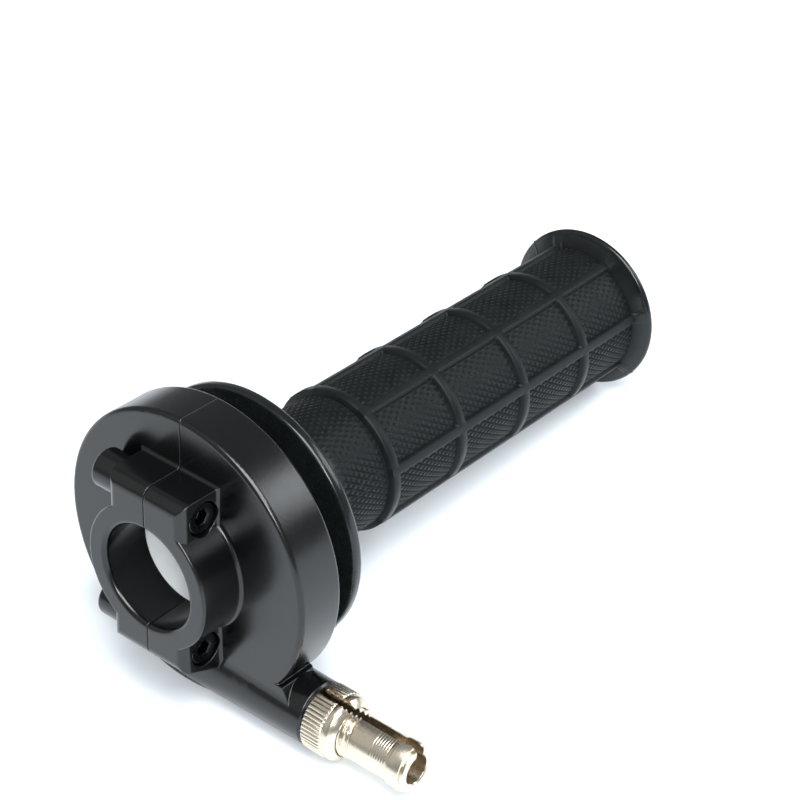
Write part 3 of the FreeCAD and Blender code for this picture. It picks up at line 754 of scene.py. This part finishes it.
nickel = bright_nickel()
adjuster = lathe_skin("slotted_adjuster", adjuster_profile, ADJUSTER_COLUMNS, on_cable_line,
                      SLOT_WIDTH, ADJUSTER_SLOT)
clean_skin(adjuster, crease_degrees=35)
adjuster.data.materials.append(nickel)
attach(adjuster, "cable_adjuster")
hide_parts("cable_adjuster")


# ---- Lock nut ----
# A round brass nut, knurled with straight ridges for the fingers and nickel plated like the adjuster.
# It is slotted too, and screws back against the snout to hold the adjuster's setting.

NUT_SLOT = math.radians(96.0)
NUT_RADIUS = 7.0 * MM
NUT_RIDGES = 46
NUT_RIDGE_HEIGHT = 0.26 * MM
NUT_RIDGE_SHARPNESS = 1.3        # above 1, the valleys are narrower than the ridges
NUT_COLUMNS_PER_RIDGE = 8
NUT_KNURL = 5.0 * MM
NUT_KNURL_END_ROUND = 0.25 * MM
NUT_SHOULDER_RADIUS = 6.75 * MM
NUT_SHOULDER = 1.5 * MM
NUT_SHOULDER_STEP = 0.05 * MM
NUT_SHOULDER_START = 0.2 * MM
NUT_SHOULDER_ROUND = 0.1 * MM
NUT_FACE_RADIUS = 5.4 * MM
NUT_FACE_ROUND = 0.1 * MM
NUT_FACE_DROP = 0.08 * MM
NUT_BORE = 5.08 * MM
NUT_BORE_CHAMFER = 0.35 * MM     # at the snout's end
NUT_MOUTH_CHAMFER = 0.12 * MM    # at the barrel's end
NUT_MOUTH_DEPTH = 0.2 * MM
NUT_CHAMFER = 0.45 * MM
NUT_SEAT_EXTRA = 0.1 * MM
# The knurled end's chamfer, part way along it, as shares of its length and of its drop.
NUT_CHAMFER_ALONG, NUT_CHAMFER_DROP = 0.35, 0.6


def nut_profile(turn):
    """Closed outline through the wall: knurled side, shoulder and face, then back by the bore."""
    ridge = abs(math.sin(NUT_RIDGES * turn / 2))
    radius = NUT_RADIUS - NUT_RIDGE_HEIGHT * (1 - ridge) ** NUT_RIDGE_SHARPNESS
    knurl_end = nut_start + NUT_KNURL
    shoulder_end = knurl_end + NUT_SHOULDER
    return [(nut_start, NUT_BORE + NUT_BORE_CHAMFER),
            (nut_start, NUT_RADIUS - NUT_CHAMFER - NUT_SEAT_EXTRA),
            (nut_start + NUT_CHAMFER_ALONG * NUT_CHAMFER,
             min(radius, NUT_RADIUS - NUT_CHAMFER_DROP * NUT_CHAMFER)),
            (nut_start + NUT_CHAMFER, radius),
            (nut_start + NUT_KNURL / 2, radius),
            (knurl_end - NUT_KNURL_END_ROUND, radius),
            (knurl_end - NUT_SHOULDER_STEP, min(radius, NUT_SHOULDER_RADIUS)),
            (knurl_end, NUT_SHOULDER_RADIUS - NUT_SHOULDER_STEP),
            (knurl_end + NUT_SHOULDER_START, NUT_SHOULDER_RADIUS),
            (shoulder_end - NUT_SHOULDER_ROUND, NUT_SHOULDER_RADIUS),
            (shoulder_end + NUT_SHOULDER_ROUND, NUT_SHOULDER_RADIUS - NUT_SHOULDER_ROUND),
            (nut_end - NUT_FACE_DROP, NUT_FACE_RADIUS + NUT_FACE_ROUND),
            (nut_end, NUT_FACE_RADIUS),
            (nut_end, NUT_BORE + NUT_MOUTH_CHAMFER),
            (nut_end - NUT_MOUTH_DEPTH, NUT_BORE),
            (nut_start + NUT_BORE_CHAMFER, NUT_BORE)]


nut_start, nut_end = nut_low.x, nut_high.x
lock_nut = lathe_skin("slotted_lock_nut", nut_profile, NUT_COLUMNS_PER_RIDGE * NUT_RIDGES,
                      on_cable_line, SLOT_WIDTH, NUT_SLOT)
clean_skin(lock_nut, crease_degrees=35)
lock_nut.data.materials.append(nickel)
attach(lock_nut, "lock_nut")
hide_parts("lock_nut")


# ---- Table, light and camera ----
# A sheet of white paper lies under the part, which rests on its cable snout and on the grip's end.
# Four square soft boxes light it in an even white room: one overhead, one low behind the cable side,
# one low in front, and a weak one at the left that fills the shadows.

PAPER_HALF_SIDE = 3000 * MM
PAPER_GAP = 0.03 * MM

snout_foot = Vector(((nut_start + nut_end) / 2, cable_y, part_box("housing_right_half")[0].z))
end_foot = Vector((0, grip_end - END_ROUND, -END_RADIUS))
paper_slope = (end_foot.z - snout_foot.z) / (end_foot.y - snout_foot.y)
paper_up = Vector((0, -paper_slope, 1)).normalized()
paper_turn = Matrix.Rotation(math.atan(paper_slope), 4, "X")

paper_mesh = bpy.data.meshes.new("white_paper")
paper_corners = [(across * PAPER_HALF_SIDE, along * PAPER_HALF_SIDE, 0)
                 for across, along in ((-1, -1), (1, -1), (1, 1), (-1, 1))]
paper_mesh.from_pydata(paper_corners, [], [(0, 1, 2, 3)])
paper = bpy.data.objects.new("white_paper", paper_mesh)
bpy.context.scene.collection.objects.link(paper)
paper.matrix_world = Matrix.Translation(snout_foot - PAPER_GAP * paper_up) @ paper_turn
paper_finish, paper_surface = new_finish("uncoated_white_paper")
paper_place = add_node(paper_finish, "ShaderNodeTexCoord", {}).outputs["Object"]
paper_fibre = add_node(paper_finish, "ShaderNodeTexNoise",
                       {"Vector": paper_place, "Scale": 1 / (0.8 * MM), "Detail": 4.0})
paper_relief = add_node(paper_finish, "ShaderNodeBump",
                        {"Strength": 0.1, "Distance": 0.01 * MM, "Height": paper_fibre.outputs["Fac"]})
paper_finish.node_tree.links.new(paper_relief.outputs["Normal"], paper_surface.inputs["Normal"])
paper_surface.inputs["Base Color"].default_value = tone("#eaf0f5")
paper_surface.inputs["Roughness"].default_value = 0.8
# Brightened paper gives back a little more light than falls on it.
paper_surface.inputs["Emission Color"].default_value = tone("#fbfdff")
paper_surface.inputs["Emission Strength"].default_value = 0.1
paper.data.materials.append(paper_finish)

# The camera and the lights face this point, near the part's middle.
aim = Vector((11.67, 59.22, 17.08)) * MM


def direction(azimuth, elevation):
    """Unit vector by azimuth from inboard towards the cable side, and elevation above level."""
    turn, lift = math.radians(azimuth), math.radians(elevation)
    return Vector((math.sin(turn) * math.cos(lift), -math.cos(turn) * math.cos(lift), math.sin(lift)))


LIGHT_DISTANCE = 1000 * MM


def soft_light(name, azimuth, elevation, size, watts, hex_colour):
    """A square soft box that faces the part."""
    lamp = bpy.data.lights.new(name, "AREA")
    lamp.shape = "SQUARE"
    lamp.size = size
    lamp.energy = watts
    lamp.color = tone(hex_colour)[:3]
    holder = bpy.data.objects.new(name, lamp)
    bpy.context.scene.collection.objects.link(holder)
    away = direction(azimuth, elevation)
    holder.location = aim + LIGHT_DISTANCE * away
    holder.rotation_euler = away.to_track_quat("Z", "Y").to_euler()


# After its name, each light has its azimuth, elevation, side in metres, power in watts and colour.
soft_light("overhead_soft_box", 52, 62, 0.65, 15.0, "#fbfdff")
soft_light("rear_soft_box", 143, 32, 0.45, 3.4, "#f6fbff")
soft_light("front_soft_box", 42, 30, 0.25, 5.5, "#fbfdff")
soft_light("left_reflector", -40, 36, 1.0, 1.0, "#faf5ee")

room = bpy.data.worlds.new("white_room")
room.use_nodes = True
room.node_tree.nodes["Background"].inputs["Color"].default_value = tone("#f3f8fa")
room.node_tree.nodes["Background"].inputs["Strength"].default_value = 0.32
bpy.context.scene.world = room
bpy.context.scene.view_settings.view_transform = "Standard"

CAMERA_AZIMUTH = 38.96
CAMERA_ELEVATION = 32.54
CAMERA_ROLL = math.radians(2.154)
CAMERA_DISTANCE = 452.66 * MM

camera_data = bpy.data.cameras.new("camera")
camera_data.lens = 101.6
camera_data.sensor_width = 36.0
camera_data.clip_start = 10 * MM
camera = bpy.data.objects.new("camera", camera_data)
bpy.context.scene.collection.objects.link(camera)
away = direction(CAMERA_AZIMUTH, CAMERA_ELEVATION)
camera.location = aim + CAMERA_DISTANCE * away
camera.rotation_euler = (away.to_track_quat("Z", "Y").to_matrix().to_4x4()
                         @ Matrix.Rotation(CAMERA_ROLL, 4, "Z")).to_euler()
bpy.context.scene.camera = camera
